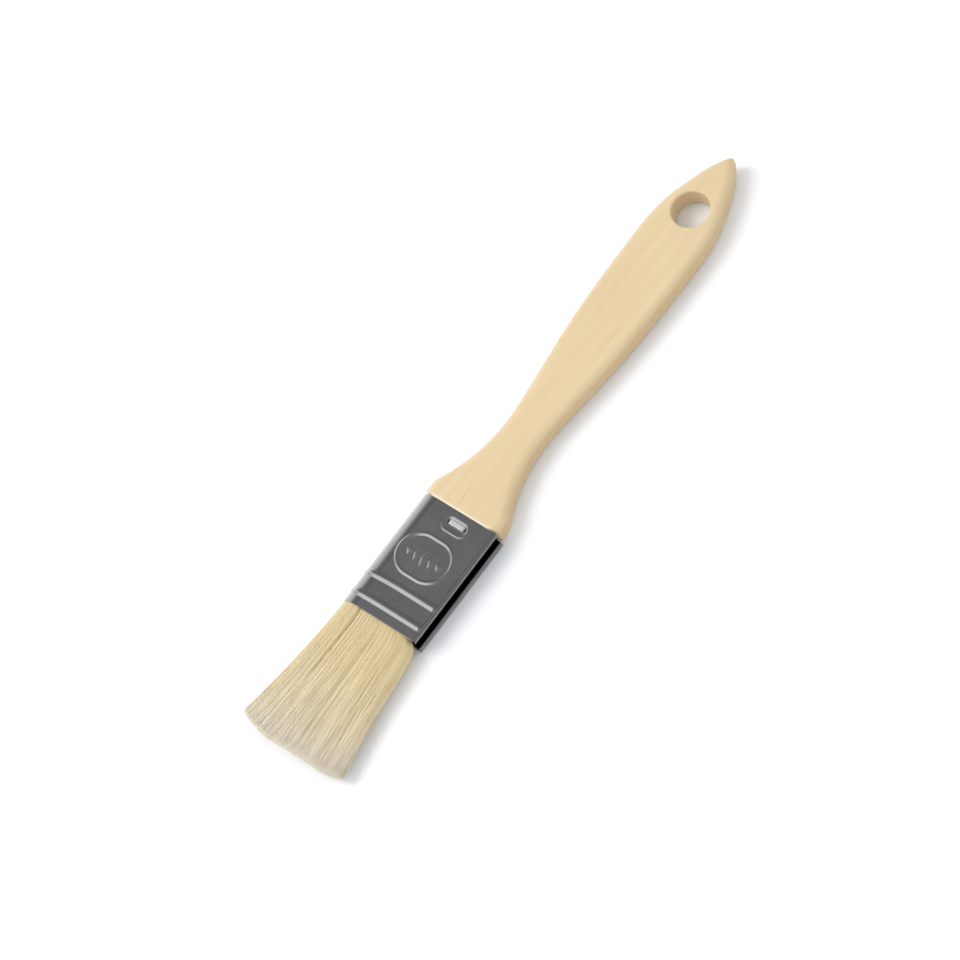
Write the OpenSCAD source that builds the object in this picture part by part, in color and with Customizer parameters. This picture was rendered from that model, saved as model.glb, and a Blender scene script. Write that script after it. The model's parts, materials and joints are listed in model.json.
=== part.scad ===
// Flat brush, one inch size: beech handle, folded tinplate ferrule, natural bristle.
// The brush lies on its back. +X runs from the bristle tips to the handle tip,
// +Z is up out of the front face, and the origin is under the middle of its length.

/* [Handle] */
// Length of handle that shows outside the ferrule
grip_l = 130; // [100:0.1:170]
// How far the handle's faces stand above the inside of the ferrule's faces
face_rise = 0.35; // [0.1:0.05:0.6]
// Width of the handle at its belly
belly_w = 21.6; // [18:0.1:27]
// Length of the pointed tip, up to the full belly width
tip_l = 30.7; // [20:0.1:36]
// Length of the stretch that keeps the full belly width
belly_l = 8; // [2:0.5:16]
// Width of the handle at its neck
neck_w = 13.2; // [9:0.1:17]
// Length of the concave flare between the neck and the shoulder
flare_l = 25.5; // [18:0.1:34]
// How far each narrow side of the shoulder stands back from the ferrule's
shoulder_inset = 0.15; // [0:0.05:0.5]
// Length of the parallel shoulder
shoulder_l = 4.6; // [2:0.1:9]
// Radius of the rounded long edges
edge_r = 2.9; // [0.6:0.1:3.2]
// Length of the small bevel where the shoulder meets the ferrule
bevel_l = 0.8; // [0.3:0.1:1.5]
// Diameter of the hanging hole
hole_d = 11.4; // [6:0.1:13]
// Distance of the hanging hole's centre from the tip
hole_from_tip = 19.8; // [15:0.1:24]
// Length of the tang inside the ferrule
tang_l = 16; // [10:0.5:18]

/* [Ferrule] */
// Width of the ferrule over its seam side and its plain side
ferrule_w = 26.8; // [22:0.1:33]
// Thickness of the ferrule over its flat faces
ferrule_t = 7.2; // [6:0.1:9]
// Length of the ferrule along the brush
ferrule_l = 38.1; // [34:0.1:48]
// Thickness of the tinplate sheet
sheet_t = 0.3; // [0.2:0.05:0.5]
// Outside radius of the plain side's two bends, as a share of half the thickness
bend_share = 0.94; // [0.6:0.01:0.95]

/* [Ferrule seam] */
// Depth of the groove that holds the lock seam
seam_depth = 1.1; // [0.6:0.05:1.4]
// Height of the front fold beside the groove
front_fold_h = 1.7; // [1.3:0.05:2]
// Height of the back hem beside the groove
back_hem_h = 2.4; // [1.8:0.05:2.6]
// How far the doubled back hem stands out past the front fold
hem_proud = 0.3; // [0:0.05:0.5]
// Outside radius of the seam's folds
fold_r = 0.6; // [0.4:0.05:0.8]

/* [Ferrule beads] */
// Distance of the first bead from the handle end of the ferrule
bead_1_from_end = 27.1; // [25:0.1:29]
// Distance between the two beads
bead_pitch = 6.9; // [4:0.1:8]
// Height of a bead over the flat face
bead_h = 0.45; // [0.2:0.05:0.6]
// Radius of a bead's cross-section
bead_r = 1.3; // [1:0.05:1.6]
// Distance between a bead's closed end and the seam side
bead_margin = 1.8; // [1.6:0.1:4]

/* [Ferrule ornament] */
// Distance of the ornament's centre from the handle end of the ferrule
ornament_from_end = 16.4; // [15:0.1:18]
// Width of the ornament's frame across the brush
ornament_w = 18.2; // [15:0.1:18.6]
// Length of the ornament's frame along the brush
ornament_l = 14; // [10:0.1:14.4]
// Width of the raised line of the frame
ornament_line = 1; // [0.8:0.05:1.4]
// Height of the ornament over the flat face
ornament_h = 0.25; // [0.1:0.05:0.3]
// Width of each lozenge
lozenge_w = 2; // [1.2:0.1:2.4]

/* [Staples] */
// Distance of the staples from the handle end of the ferrule
staple_from_end = 3.6; // [3:0.1:4.2]
// Offset of the staples from the middle, towards the seam side
staple_offset = 1.8; // [0:0.1:4]
// Length of a staple's crown
crown_l = 5.4; // [4:0.1:7]
// Width of the flattened wire
wire_w = 1.4; // [0.8:0.1:1.6]
// Thickness of the flattened wire
wire_t = 0.6; // [0.4:0.05:0.8]
// How deep the staple's legs reach into the tang
leg_depth = 2.5; // [1.5:0.1:2.6]
// Depth of the dimple that the staple presses into the sheet
dimple_depth = 0.45; // [0.3:0.05:0.6]
// Radius of the dimple's cross-section
dimple_r = 4.2; // [3.6:0.1:5]

/* [Bristle] */
// Length of bristle that shows past the ferrule
bristle_l = 43.4; // [30:0.1:60]
// How far the bristle's tips reach past each side of the ferrule
tip_flare = 3.3; // [1:0.1:5]
// Thickness of the bristle at its tips
bristle_tip_t = 5.4; // [4:0.1:7]
// How deep the butts of the bristle reach into the ferrule
butt_depth = 17; // [14:0.5:19]
// Clearance between neighbouring locks at the ferrule
lock_gap = 0.3; // [0.15:0.01:0.4]
// Clearance between the two rows at the ferrule
row_gap = 0.1; // [0.06:0.01:0.2]
// Parting between neighbouring locks at the tips
tip_gap = 0.4; // [0.2:0.05:0.8]
// How much shorter the outermost bristle is than the middle
tip_crown = 1.8; // [0:0.1:4]

/* [Setting] */
// Thickness of the spacer plug between the two rows
plug_t = 1.6; // [1:0.1:2.4]
// Length of the spacer plug
plug_l = 11; // [9:0.5:12]
// Width of the spacer plug
plug_w = 19; // [14:0.5:19]
// Length of the butts that sits in the setting resin
embed_l = 8; // [6:0.5:9]
// Clearance at each narrow side of what slides into the ferrule
side_fit = 0.05; // [0.02:0.01:0.12]

/* [Hidden] */
locks_per_row = 7;

// Stations along the brush.
overall_l = bristle_l + ferrule_l + grip_l;
x_bristle_tip = -overall_l / 2;
x_mouth = x_bristle_tip + bristle_l;
x_ferrule_end = x_mouth + ferrule_l;
x_tip = overall_l / 2;
x_tang_end = x_ferrule_end - tang_l;
x_butt = x_mouth + butt_depth;
x_resin_start = x_butt - embed_l;
x_hole = x_tip - hole_from_tip;
x_staple = x_ferrule_end - staple_from_end;
x_ornament = x_ferrule_end - ornament_from_end;
bead_stations = [for (i = [0:1]) x_ferrule_end - bead_1_from_end - i * bead_pitch];

// Half sizes of the section through the ferrule; the beads of the back touch z = 0.
half_w = ferrule_w / 2;
half_t = ferrule_t / 2;
z_mid = half_t + bead_h;
inner_half_t = half_t - sheet_t;
seam_floor_t = 2 * sheet_t;
seam_wall_y = -(half_w - seam_depth - seam_floor_t);
plain_wall_y = half_w - sheet_t;
bead_sink = bead_r - bead_h;
bend_r = bend_share * half_t;
bend_inner_r = bend_r - sheet_t;
fold_reach = 3;
fold_inner_r = max(0.15, fold_r - sheet_t);

// Handle profile; the bevel ends just outside the tang.
handle_t = 2 * (inner_half_t + face_rise);
shoulder_w = ferrule_w - 2 * shoulder_inset;
bevel_foot = 0.05;
bevel_in = 0.3;
neck_from_tip = grip_l - shoulder_l - flare_l;
belly_end = tip_l + belly_l;
shoulder_start = grip_l - shoulder_l;
flare_rise = (shoulder_w - neck_w) / 2;
flare_r = (flare_l * flare_l + flare_rise * flare_rise) / (2 * flare_rise);
tip_power = 0.8;
tip_drop_share = 0.75;
tang_edge_r = 0.5;
tip_point_w = 0.7;
corner_steps = 6;
smooth = 64;

// The dent around a staple is a trough with round ends; it reaches further towards the bristle.
dimple_shift = 0.4;
dimple_half_l = 2;
crown_z = half_t - dimple_depth + 0.05;

// Bristle.
bristle_tip_w = ferrule_w + 2 * tip_flare;
lock_valley = 0.35;
pocket_over = 1;

wood = [0.90, 0.80, 0.64];
tin = [0.50, 0.50, 0.51];
steel = [0.78, 0.78, 0.78];
straw = [0.88, 0.79, 0.60];
resin = [0.55, 0.36, 0.16];
card = [0.72, 0.58, 0.40];

// ---------- helpers ----------

function lerp(a, b, t) = a + (b - a) * t;

function bezier(a, b, c, d, t) =
  a * pow(1 - t, 3) + 3 * b * t * pow(1 - t, 2) + 3 * c * t * t * (1 - t) + d * pow(t, 3);

// Triangles of a loft through `rings` rings of `n` points, with both ends closed.
// Seen from the first end, each ring runs clockwise.
function loft_faces(rings, n) =
  let (last = (rings - 1) * n)
    concat(
      [for (i = [1:n - 2]) [0, i, i + 1]],
      [for (r = [0:rings - 2], i = [0:n - 1], half = [0, 1])
        let (j = (i + 1) % n, a = r * n)
          half == 0 ? [a + j, a + i, a + n + i] : [a + j, a + n + i, a + n + j]],
      [for (i = [1:n - 2]) [last, last + i + 1, last + i]]
    );

// A profile drawn across the brush (Y, Z) and drawn out along it from x0 to x1.
module along_brush(x0, x1) {
  translate([x0, 0, z_mid])
    rotate([90, 0, 90])
      linear_extrude(height = x1 - x0)
        children();
}

// A rectangle from corner a to corner b with rounded corners.
module round_box(a, b, r) {
  translate([a[0] + r, a[1]])
    square([b[0] - a[0] - 2 * r, b[1] - a[1]]);
  translate([a[0], a[1] + r])
    square([b[0] - a[0], b[1] - a[1] - 2 * r]);
  for (y = [a[0] + r, b[0] - r], z = [a[1] + r, b[1] - r])
    translate([y, z])
      circle(r = r, $fn = smooth);
}

// ---------- handle ----------

// The flare from the neck to the shoulder is one arc, tangent at the neck.
function flare_half(d) = neck_w / 2 + flare_r - sqrt(flare_r * flare_r - d * d);

// Half widths of the handle as [distance from the tip, half width].
handle_outline = concat(
  [[0, tip_point_w / 2]],
  [for (i = [1:16])
    let (d = tip_l * pow(i / 16, 1.6))
      [d, max(tip_point_w / 2, belly_w / 2 * pow(sin(90 * d / tip_l), tip_power))]],
  [for (i = [0:18])
    let (t = i / 18, run = neck_from_tip - belly_end)
      [
        bezier(belly_end, belly_end + 0.56 * run, neck_from_tip - 0.2 * run, neck_from_tip, t),
        bezier(belly_w / 2, belly_w / 2, neck_w / 2, neck_w / 2, t)
      ]],
  [for (i = [1:14])
    let (d = flare_l * i / 14)
      [neck_from_tip + d, flare_half(d)]],
  [
    [shoulder_start + 0.5, shoulder_w / 2],
    [grip_l - bevel_l, shoulder_w / 2],
    [grip_l, shoulder_w / 2 - bevel_in]
  ]
);

// The long edges' rounding also rounds the tip over, and the bevel thins the last ring.
function tip_drop(d) =
  d >= edge_r ? 0 : edge_r * tip_drop_share * (1 - sqrt(1 - pow(1 - d / edge_r, 2)));
function handle_half_t(d) =
  d >= grip_l ? inner_half_t + bevel_foot : handle_t / 2 - tip_drop(d);

// One rounded rectangle of the loft, at distance d from the tip.
function handle_ring(d, half) =
  let (ht = handle_half_t(d), ry = min(edge_r, half * 0.9), rz = min(edge_r, ht * 0.8))
    [for (q = [0:3], k = [0:corner_steps])
      let (
        a = -90 * q - 90 * k / corner_steps,
        cy = (q == 0 || q == 3 ? 1 : -1) * (half - ry),
        cz = (q < 2 ? -1 : 1) * (ht - rz)
      )
        [x_tip - d, cy + ry * cos(a), z_mid + cz + rz * sin(a)]];

module handle_blank() {
  ring_n = 4 * (corner_steps + 1);
  polyhedron(
    points = [for (p = handle_outline) each handle_ring(p[0], p[1])],
    faces = loft_faces(len(handle_outline), ring_n),
    convexity = 4
  );
}

module tang() {
  along_brush(x_tang_end, x_ferrule_end + bevel_l / 2)
    difference() {
      round_box(
        [seam_wall_y + side_fit, -inner_half_t],
        [plain_wall_y - side_fit, inner_half_t],
        tang_edge_r
      );
      tang_corner_relief();
    }
}

// The tang's edges on the plain side follow the ferrule's wide bends.
module tang_corner_relief() {
  for (side = [-1, 1])
    difference() {
      translate([plain_wall_y - bend_inner_r, side > 0 ? inner_half_t - bend_inner_r : -inner_half_t])
        square([bend_inner_r + 1, bend_inner_r]);
      translate([plain_wall_y - bend_inner_r, side * (inner_half_t - bend_inner_r)])
        circle(r = bend_inner_r - side_fit / 4, $fn = smooth);
    }
}

module handle() {
  color(wood)
    difference() {
      union() {
        handle_blank();
        tang();
      }
      translate([x_hole, 0, z_mid])
        cylinder(h = handle_t + 2, d = hole_d, center = true, $fn = smooth);
      for (side = [-1, 1]) {
        dimple(side, dimple_r + sheet_t);
        staple_legs(side);
      }
    }
}

// ---------- ferrule ----------

// The outside of the folded sheet, or its inside when inset is the sheet thickness.
// The seam side has a front fold and a doubled back hem with the seam's groove between.
module ferrule_section(inset) {
  outer = inset == 0;
  seam_y = outer ? -(half_w - seam_depth) : seam_wall_y;
  z = half_t - inset;
  fr = outer ? fold_r : fold_inner_r;
  br = bend_r - inset;
  fold_y = -(half_w - inset);
  hem_y = -(half_w + hem_proud - 2 * inset);
  round_box([seam_y - br / 2, -z], [half_w - inset, z], br);
  translate([seam_y, -z])
    square([half_w, 2 * z]);
  round_box([fold_y, half_t - front_fold_h + inset], [seam_y + fold_reach, z], fr);
  round_box([hem_y, -z], [seam_y + fold_reach, -half_t + back_hem_h - inset], fr);
}

module ferrule_outer() {
  intersection() {
    ferrule_section(0);
    seam_side_limit(0);
  }
}

module ferrule_inner() {
  intersection() {
    ferrule_section(sheet_t);
    seam_side_limit(sheet_t);
  }
}

// Keeps only the seam groove's floor, the front fold and the back hem on the seam side.
module seam_side_limit(inset) {
  seam_y = inset == 0 ? -(half_w - seam_depth) : seam_wall_y;
  translate([seam_y, -ferrule_t])
    square([ferrule_w * 2, ferrule_t * 2]);
  translate([-ferrule_w, half_t - front_fold_h + inset])
    square([ferrule_w, ferrule_t]);
  translate([-ferrule_w, -ferrule_t - (half_t - back_hem_h + inset)])
    square([ferrule_w, ferrule_t]);
}

// One bead round the front, the plain side and the back; r is its section's radius.
module bead(x, r) {
  turn_r = bend_r - bead_sink;
  straight = half_w - bend_r;
  end_y = -(half_w - bead_margin);
  translate([x, 0, z_mid]) {
    for (side = [-1, 1]) {
      translate([0, end_y, side * (half_t - bead_sink)])
        sphere(r = r, $fn = smooth);
      translate([0, end_y, side * (half_t - bead_sink)])
        rotate([-90, 0, 0])
          cylinder(h = straight - end_y, r = r, $fn = smooth);
      translate([0, straight, side * (half_t - bend_r)])
        rotate([0, -90, 0])
          rotate([0, 0, side > 0 ? 0 : 90])
            rotate_extrude(angle = 90, $fn = smooth)
              translate([turn_r, 0])
                circle(r = r, $fn = smooth);
    }
    translate([0, half_w - bead_sink, 0])
      cylinder(h = 2 * (half_t - bend_r), r = r, center = true, $fn = smooth);
  }
}

// The dent around a staple: a long round-ended trough, cut from the face of one side.
module dimple(side, r) {
  sink = dimple_r - dimple_depth;
  translate([x_staple - dimple_shift, -staple_offset, z_mid + side * (half_t + sink)]) {
    for (end = [-1, 1])
      translate([0, end * dimple_half_l, 0])
        sphere(r = r, $fn = smooth);
    rotate([90, 0, 0])
      cylinder(h = 2 * dimple_half_l, r = r, center = true, $fn = smooth);
  }
}

// A stadium outline that lies across the brush, shrunk by inset.
module stadium(inset) {
  r = ornament_l / 2 - inset;
  reach = (ornament_w - ornament_l) / 2;
  translate([-r, -reach])
    square([2 * r, 2 * reach]);
  for (end = [-1, 1])
    translate([0, end * reach])
      circle(r = r, $fn = smooth);
}

module stadium_ring(inset, line) {
  difference() {
    stadium(inset);
    stadium(inset + line);
  }
}

module lozenge(length, width) {
  polygon([[length / 2, 0], [0, width / 2], [-length / 2, 0], [0, -width / 2]]);
}

// A row of five lozenges inside a stadium frame, raised on the front face.
module ornament() {
  lozenge_l = [3, 4.6, 6.2, 4.6, 3];
  translate([x_ornament, 0, z_mid + half_t - sheet_t / 2])
    linear_extrude(height = sheet_t / 2 + ornament_h) {
      stadium_ring(0, ornament_line);
      for (i = [0:4])
        translate([0, (i - 2) * ornament_w / 7])
          lozenge(lozenge_l[i], lozenge_w);
    }
}

// The frame is pressed up from behind, so its line is hollow.
module ornament_back() {
  wall = ornament_line / 4;
  translate([x_ornament, 0, z_mid + inner_half_t - sheet_t])
    linear_extrude(height = sheet_t + ornament_h)
      stadium_ring(wall, ornament_line - 2 * wall);
}

module ferrule() {
  color(tin)
    difference() {
      union() {
        along_brush(x_mouth, x_ferrule_end)
          ferrule_outer();
        for (x = bead_stations)
          bead(x, bead_r);
        ornament();
        ferrule_dimple_skin();
      }
      difference() {
        union() {
          along_brush(x_mouth - 1, x_ferrule_end + 1)
            ferrule_inner();
          for (x = bead_stations)
            bead(x, bead_r - sheet_t);
          ornament_back();
        }
        for (side = [-1, 1])
          dimple(side, dimple_r + sheet_t);
      }
      for (side = [-1, 1]) {
        dimple(side, dimple_r);
        staple_legs(side);
      }
    }
}

module ferrule_dimple_skin() {
  intersection() {
    along_brush(x_mouth, x_ferrule_end)
      ferrule_outer();
    for (side = [-1, 1])
      dimple(side, dimple_r + sheet_t);
  }
}

// ---------- staples ----------

// The two legs of a staple, from its crown down into the tang.
module staple_legs(side) {
  foot_z = inner_half_t - leg_depth;
  for (end = [-1, 1])
    translate([
      x_staple - wire_w / 2,
      -staple_offset + end * (crown_l - wire_t) / 2 - wire_t / 2,
      z_mid + (side > 0 ? foot_z : -crown_z)
    ])
      cube([wire_w, wire_t, crown_z - foot_z]);
}

module staple(side) {
  color(steel) {
    staple_legs(side);
    translate([
      x_staple - wire_w / 2,
      -staple_offset - crown_l / 2,
      z_mid + (side > 0 ? crown_z : -crown_z - wire_t)
    ])
      cube([wire_w, crown_l, wire_t]);
  }
}

module staple_front() {
  staple(1);
}

module staple_back() {
  staple(-1);
}

// ---------- setting ----------

// The plug stands between the butts of the two rows.
module plug_solid() {
  translate([x_butt - plug_l, (seam_wall_y + plain_wall_y) / 2 - plug_w / 2, z_mid - plug_t / 2])
    cube([plug_l, plug_w, plug_t]);
}

module spacer_plug() {
  color(card)
    plug_solid();
}

// The resin fills the ferrule round the butts, up to the end of the tang.
module setting_resin() {
  color(resin)
    difference() {
      along_brush(x_resin_start, x_tang_end)
        ferrule_inner();
      plug_solid();
      for (i = [1:locks_per_row], side = [-1, 1])
        butt_pocket(i, side);
    }
}

// The room that the butt of one lock takes in the resin, open to the ferrule's wall.
module butt_pocket(i, side) {
  y0 = lock_edge(i, 0, 0);
  y1 = lock_edge(i, 1, 0);
  translate([x_resin_start - pocket_over, y0, z_mid + (side > 0 ? plug_t / 2 : -ferrule_t)])
    cube([embed_l + pocket_over, y1 - y0, ferrule_t - plug_t / 2]);
}

// ---------- bristle ----------

// Each lock is a loft through these shares of its visible length, after its straight butt.
lock_stations = [0, 0.05, 0.15, 0.32, 0.5, 0.7, 0.88, 1];
lock_top_steps = 5;

// The bristle swells as soon as it leaves the ferrule and then fans out.
swell = 0.25;
swell_end = 0.05;
function fan(s) = s <= 0 ? 0 : swell * min(1, s / swell_end) + (1 - swell) * pow(s, 0.9);

// Y of the share t across the row, at share s of the visible length.
function row_y(t, s) = lerp(
  lerp(seam_wall_y + side_fit, plain_wall_y - side_fit, t),
  lerp(-bristle_tip_w / 2, bristle_tip_w / 2, t),
  fan(s)
);

// Half thickness of the row at share t across it; it is round at both narrow sides.
function row_half_t(s) = lerp(inner_half_t, bristle_tip_t / 2, fan(s));
function row_top(t, s) =
  let (
    ht = row_half_t(s),
    r = min(bend_inner_r, ht * bend_share),
    y = row_y(t, s),
    in_from_edge = min(y - row_y(0, s), row_y(1, s) - y),
    d = max(0, r - in_from_edge - side_fit)
  )
    ht - r + sqrt(max(0, r * r - d * d)) - (s > 0 ? 0 : side_fit / 5);

// Y of one edge of lock i at share s: edge 0 is its seam side and edge 1 its plain side.
function lock_edge(i, edge, s) =
  row_y((i - 1 + edge) / locks_per_row, s) + (1 - 2 * edge) * lerp(lock_gap, tip_gap, fan(s)) / 2;

// Outline of lock i at share s, starting at the middle plane.
function lock_ring(i, s, x, floor_z, side) =
  let (
    y0 = lock_edge(i, 0, s),
    y1 = lock_edge(i, 1, s),
    shift = function(t) x + (s < 1 ? 0 : tip_crown * pow(2 * t - 1, 2)),
    x0 = shift((i - 1) / locks_per_row),
    x1 = shift(i / locks_per_row)
  )
    concat(
      [[x1, y1, z_mid + side * floor_z], [x0, y0, z_mid + side * floor_z]],
      [for (k = [0:lock_top_steps])
        let (
          u = k / lock_top_steps,
          t = (i - 1 + u) / locks_per_row,
          valley = lock_valley * min(1, 2 * max(0, s)) * pow(2 * u - 1, 2)
        )
          [lerp(x0, x1, u), lerp(y0, y1, u), z_mid + side * (row_top(t, s) - valley)]]
    );

module lock(i, side) {
  rings = concat(
    [
      lock_ring(i, 0, x_butt, plug_t / 2, side),
      lock_ring(i, 0, x_butt - plug_l, plug_t / 2, side),
      lock_ring(i, 0, x_mouth + 1, row_gap / 2, side)
    ],
    [for (s = lock_stations) lock_ring(i, s, x_mouth - bristle_l * s, lerp(row_gap, tip_gap, s) / 2, side)]
  );
  n = lock_top_steps + 3;
  faces = loft_faces(len(rings), n);
  polyhedron(
    points = [for (ring = rings) each ring],
    faces = side > 0 ? faces : [for (f = faces) [for (k = [len(f) - 1:-1:0]) f[k]]],
    convexity = 4
  );
}

module bristle_lock(i, side) {
  color(straw)
    lock(i, side);
}

handle();
ferrule();
staple_front();
staple_back();
spacer_plug();
setting_resin();
for (i = [1:locks_per_row]) {
  bristle_lock(i, 1);
  bristle_lock(i, -1);
}
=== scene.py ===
"""The looks of a one inch flat brush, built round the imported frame. Lengths are in metres."""

import json
import math

import bpy
import bmesh
import numpy as np
from mathutils import Matrix, Vector

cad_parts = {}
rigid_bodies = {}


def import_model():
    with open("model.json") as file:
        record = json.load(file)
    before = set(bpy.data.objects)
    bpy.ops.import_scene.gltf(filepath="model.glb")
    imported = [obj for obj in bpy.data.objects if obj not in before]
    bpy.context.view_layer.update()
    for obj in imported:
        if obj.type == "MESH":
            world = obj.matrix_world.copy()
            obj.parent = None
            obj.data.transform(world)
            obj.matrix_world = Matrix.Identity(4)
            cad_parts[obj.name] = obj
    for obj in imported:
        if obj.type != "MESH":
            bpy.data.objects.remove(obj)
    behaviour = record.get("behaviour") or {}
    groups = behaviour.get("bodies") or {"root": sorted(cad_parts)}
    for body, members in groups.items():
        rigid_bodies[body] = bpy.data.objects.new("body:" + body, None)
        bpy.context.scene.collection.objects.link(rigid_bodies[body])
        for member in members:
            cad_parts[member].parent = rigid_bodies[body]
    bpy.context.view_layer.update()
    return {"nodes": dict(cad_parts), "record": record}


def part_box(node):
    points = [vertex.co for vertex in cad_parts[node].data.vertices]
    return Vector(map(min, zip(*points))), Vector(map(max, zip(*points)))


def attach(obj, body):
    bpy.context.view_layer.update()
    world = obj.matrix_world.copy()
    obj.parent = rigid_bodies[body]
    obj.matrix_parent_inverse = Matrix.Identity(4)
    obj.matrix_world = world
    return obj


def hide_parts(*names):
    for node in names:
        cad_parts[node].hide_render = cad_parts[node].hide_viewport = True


for leftover in list(bpy.data.objects):
    bpy.data.objects.remove(leftover)

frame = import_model()

MM = 0.001
BODY = "root"
LOCKS_PER_ROW = 7

# ---------- places, from the frame ----------

FERRULE_LOW, FERRULE_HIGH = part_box("ferrule")
HANDLE_LOW, HANDLE_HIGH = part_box("handle")
STAPLE_LOW, STAPLE_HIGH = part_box("staple_front")
MIDDLE_LOCK = "bristle_front_4"
TIP_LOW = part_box(MIDDLE_LOCK)[0]

X_MOUTH = FERRULE_LOW.x
X_FERRULE_END = FERRULE_HIGH.x
X_HANDLE_TIP = HANDLE_HIGH.x
X_TANG_END = HANDLE_LOW.x
X_BRISTLE_TIP = TIP_LOW.x
Z_MID = (HANDLE_LOW.z + HANDLE_HIGH.z) / 2
BEAD_H = 0.45 * MM
HALF_T = FERRULE_HIGH.z - BEAD_H - Z_MID
HALF_W = FERRULE_HIGH.y - BEAD_H

# ---------- details of the handle ----------

EDGE_R = 2.9 * MM
BEVEL_L = 0.8 * MM
BEVEL_INSET = 0.15 * MM
TIP_DROP_SHARE = 0.75
TIP_ROUND_L = 3.2 * MM
TIP_FULLNESS = 0.45 * MM
TIP_FULLNESS_AT = 5 * MM
HOLE_RIM_R = 0.7 * MM

# ---------- details of the ferrule's sheet ----------

SHEET_T = 0.3 * MM
# How far the half ellipse of the plain side reaches in from it.
SIDE_W = 5.5 * MM
SEAM_DEPTH = 1.1 * MM
FRONT_FOLD_H = 1.7 * MM
BACK_HEM_H = 2.4 * MM
HEM_PROUD = 0.3 * MM
FOLD_R = 0.6 * MM
BEAD_FROM_END = 27.1 * MM
BEAD_PITCH = 6.9 * MM
BEAD_HALF_WIDTH = 1.25 * MM
BEAD_MARGIN = 1.8 * MM
ORNAMENT_FROM_END = 16.4 * MM
ORNAMENT_W = 18.2 * MM
ORNAMENT_L = 14 * MM
ORNAMENT_H = 0.34 * MM
DIMPLE_DEPTH = 0.45 * MM
DIMPLE_SHIFT = 0.4 * MM
DIMPLE_HALF_L = 2 * MM
DIMPLE_REACH = 2.1 * MM

# ---------- details of the staples ----------

WIRE_T = 0.6 * MM
WIRE_BEND_R = 0.75 * MM
WIRE_EDGE_R = 0.2 * MM


# ---------- small helpers ----------

def smoothstep(low, high, value):
    t = np.clip((value - low) / (high - low), 0.0, 1.0)
    return t * t * (3.0 - 2.0 * t)


def mix(a, b, t):
    return a + (b - a) * t


def wave_noise(x, y, seed, octaves=4):
    """Smooth noise between about -1 and 1, made of a few sine waves at seeded angles."""
    local = np.random.default_rng(seed)
    total = np.zeros(np.broadcast(x, y).shape)
    for k in range(octaves):
        angle, phase = local.uniform(0, math.tau, 2)
        scale = 1.6 ** k
        total += np.sin((x * math.cos(angle) + y * math.sin(angle)) * scale + phase) / 1.5 ** k
    return total / 2.0


def new_object(name, points, faces, smooth=True):
    mesh = bpy.data.meshes.new(name)
    mesh.from_pydata([tuple(p) for p in points], [], faces)
    mesh.update()
    if smooth:
        mesh.polygons.foreach_set("use_smooth", [True] * len(mesh.polygons))
    obj = bpy.data.objects.new(name, mesh)
    bpy.context.scene.collection.objects.link(obj)
    return obj


def apply_modifiers(obj):
    """Bakes the object's modifiers into its mesh."""
    graph = bpy.context.evaluated_depsgraph_get()
    mesh = bpy.data.meshes.new_from_object(obj.evaluated_get(graph))
    obj.modifiers.clear()
    obj.data = mesh


def place(obj, material, slot, *nodes):
    """Gives a finished piece its material and body, and hides the CAD nodes that it stands for. The slot
    argument is not used.
    """
    obj.data.materials.clear()
    obj.data.materials.append(material)
    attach(obj, BODY)
    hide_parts(*nodes)
    return obj


def paint(obj, name, values):
    """Stores one number per vertex for the material to read."""
    layer = obj.data.attributes.new(name, "FLOAT", "POINT")
    layer.data.foreach_set("value", np.asarray(values, dtype=float).ravel())


def vertex_array(obj):
    points = np.empty(len(obj.data.vertices) * 3)
    obj.data.vertices.foreach_get("co", points)
    return points.reshape(-1, 3)


def grid_faces(rows, columns, closed=False, flip=False):
    """Quads of a grid of rows x columns points; closed joins the last column to the first."""
    faces = []
    last = columns if closed else columns - 1
    for r in range(rows - 1):
        for c in range(last):
            n = (c + 1) % columns
            quad = (r * columns + c, r * columns + n, (r + 1) * columns + n, (r + 1) * columns + c)
            faces.append(quad[::-1] if flip else quad)
    return faces


def closed_loft(rows, columns, flip=True):
    """Faces of a loft through closed rings, with both ends capped."""
    last = (rows - 1) * columns
    first_cap = list(range(columns))
    last_cap = [last + k for k in range(columns - 1, -1, -1)]
    return grid_faces(rows, columns, closed=True, flip=flip) + [first_cap, last_cap]


# ---------- materials ----------

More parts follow.
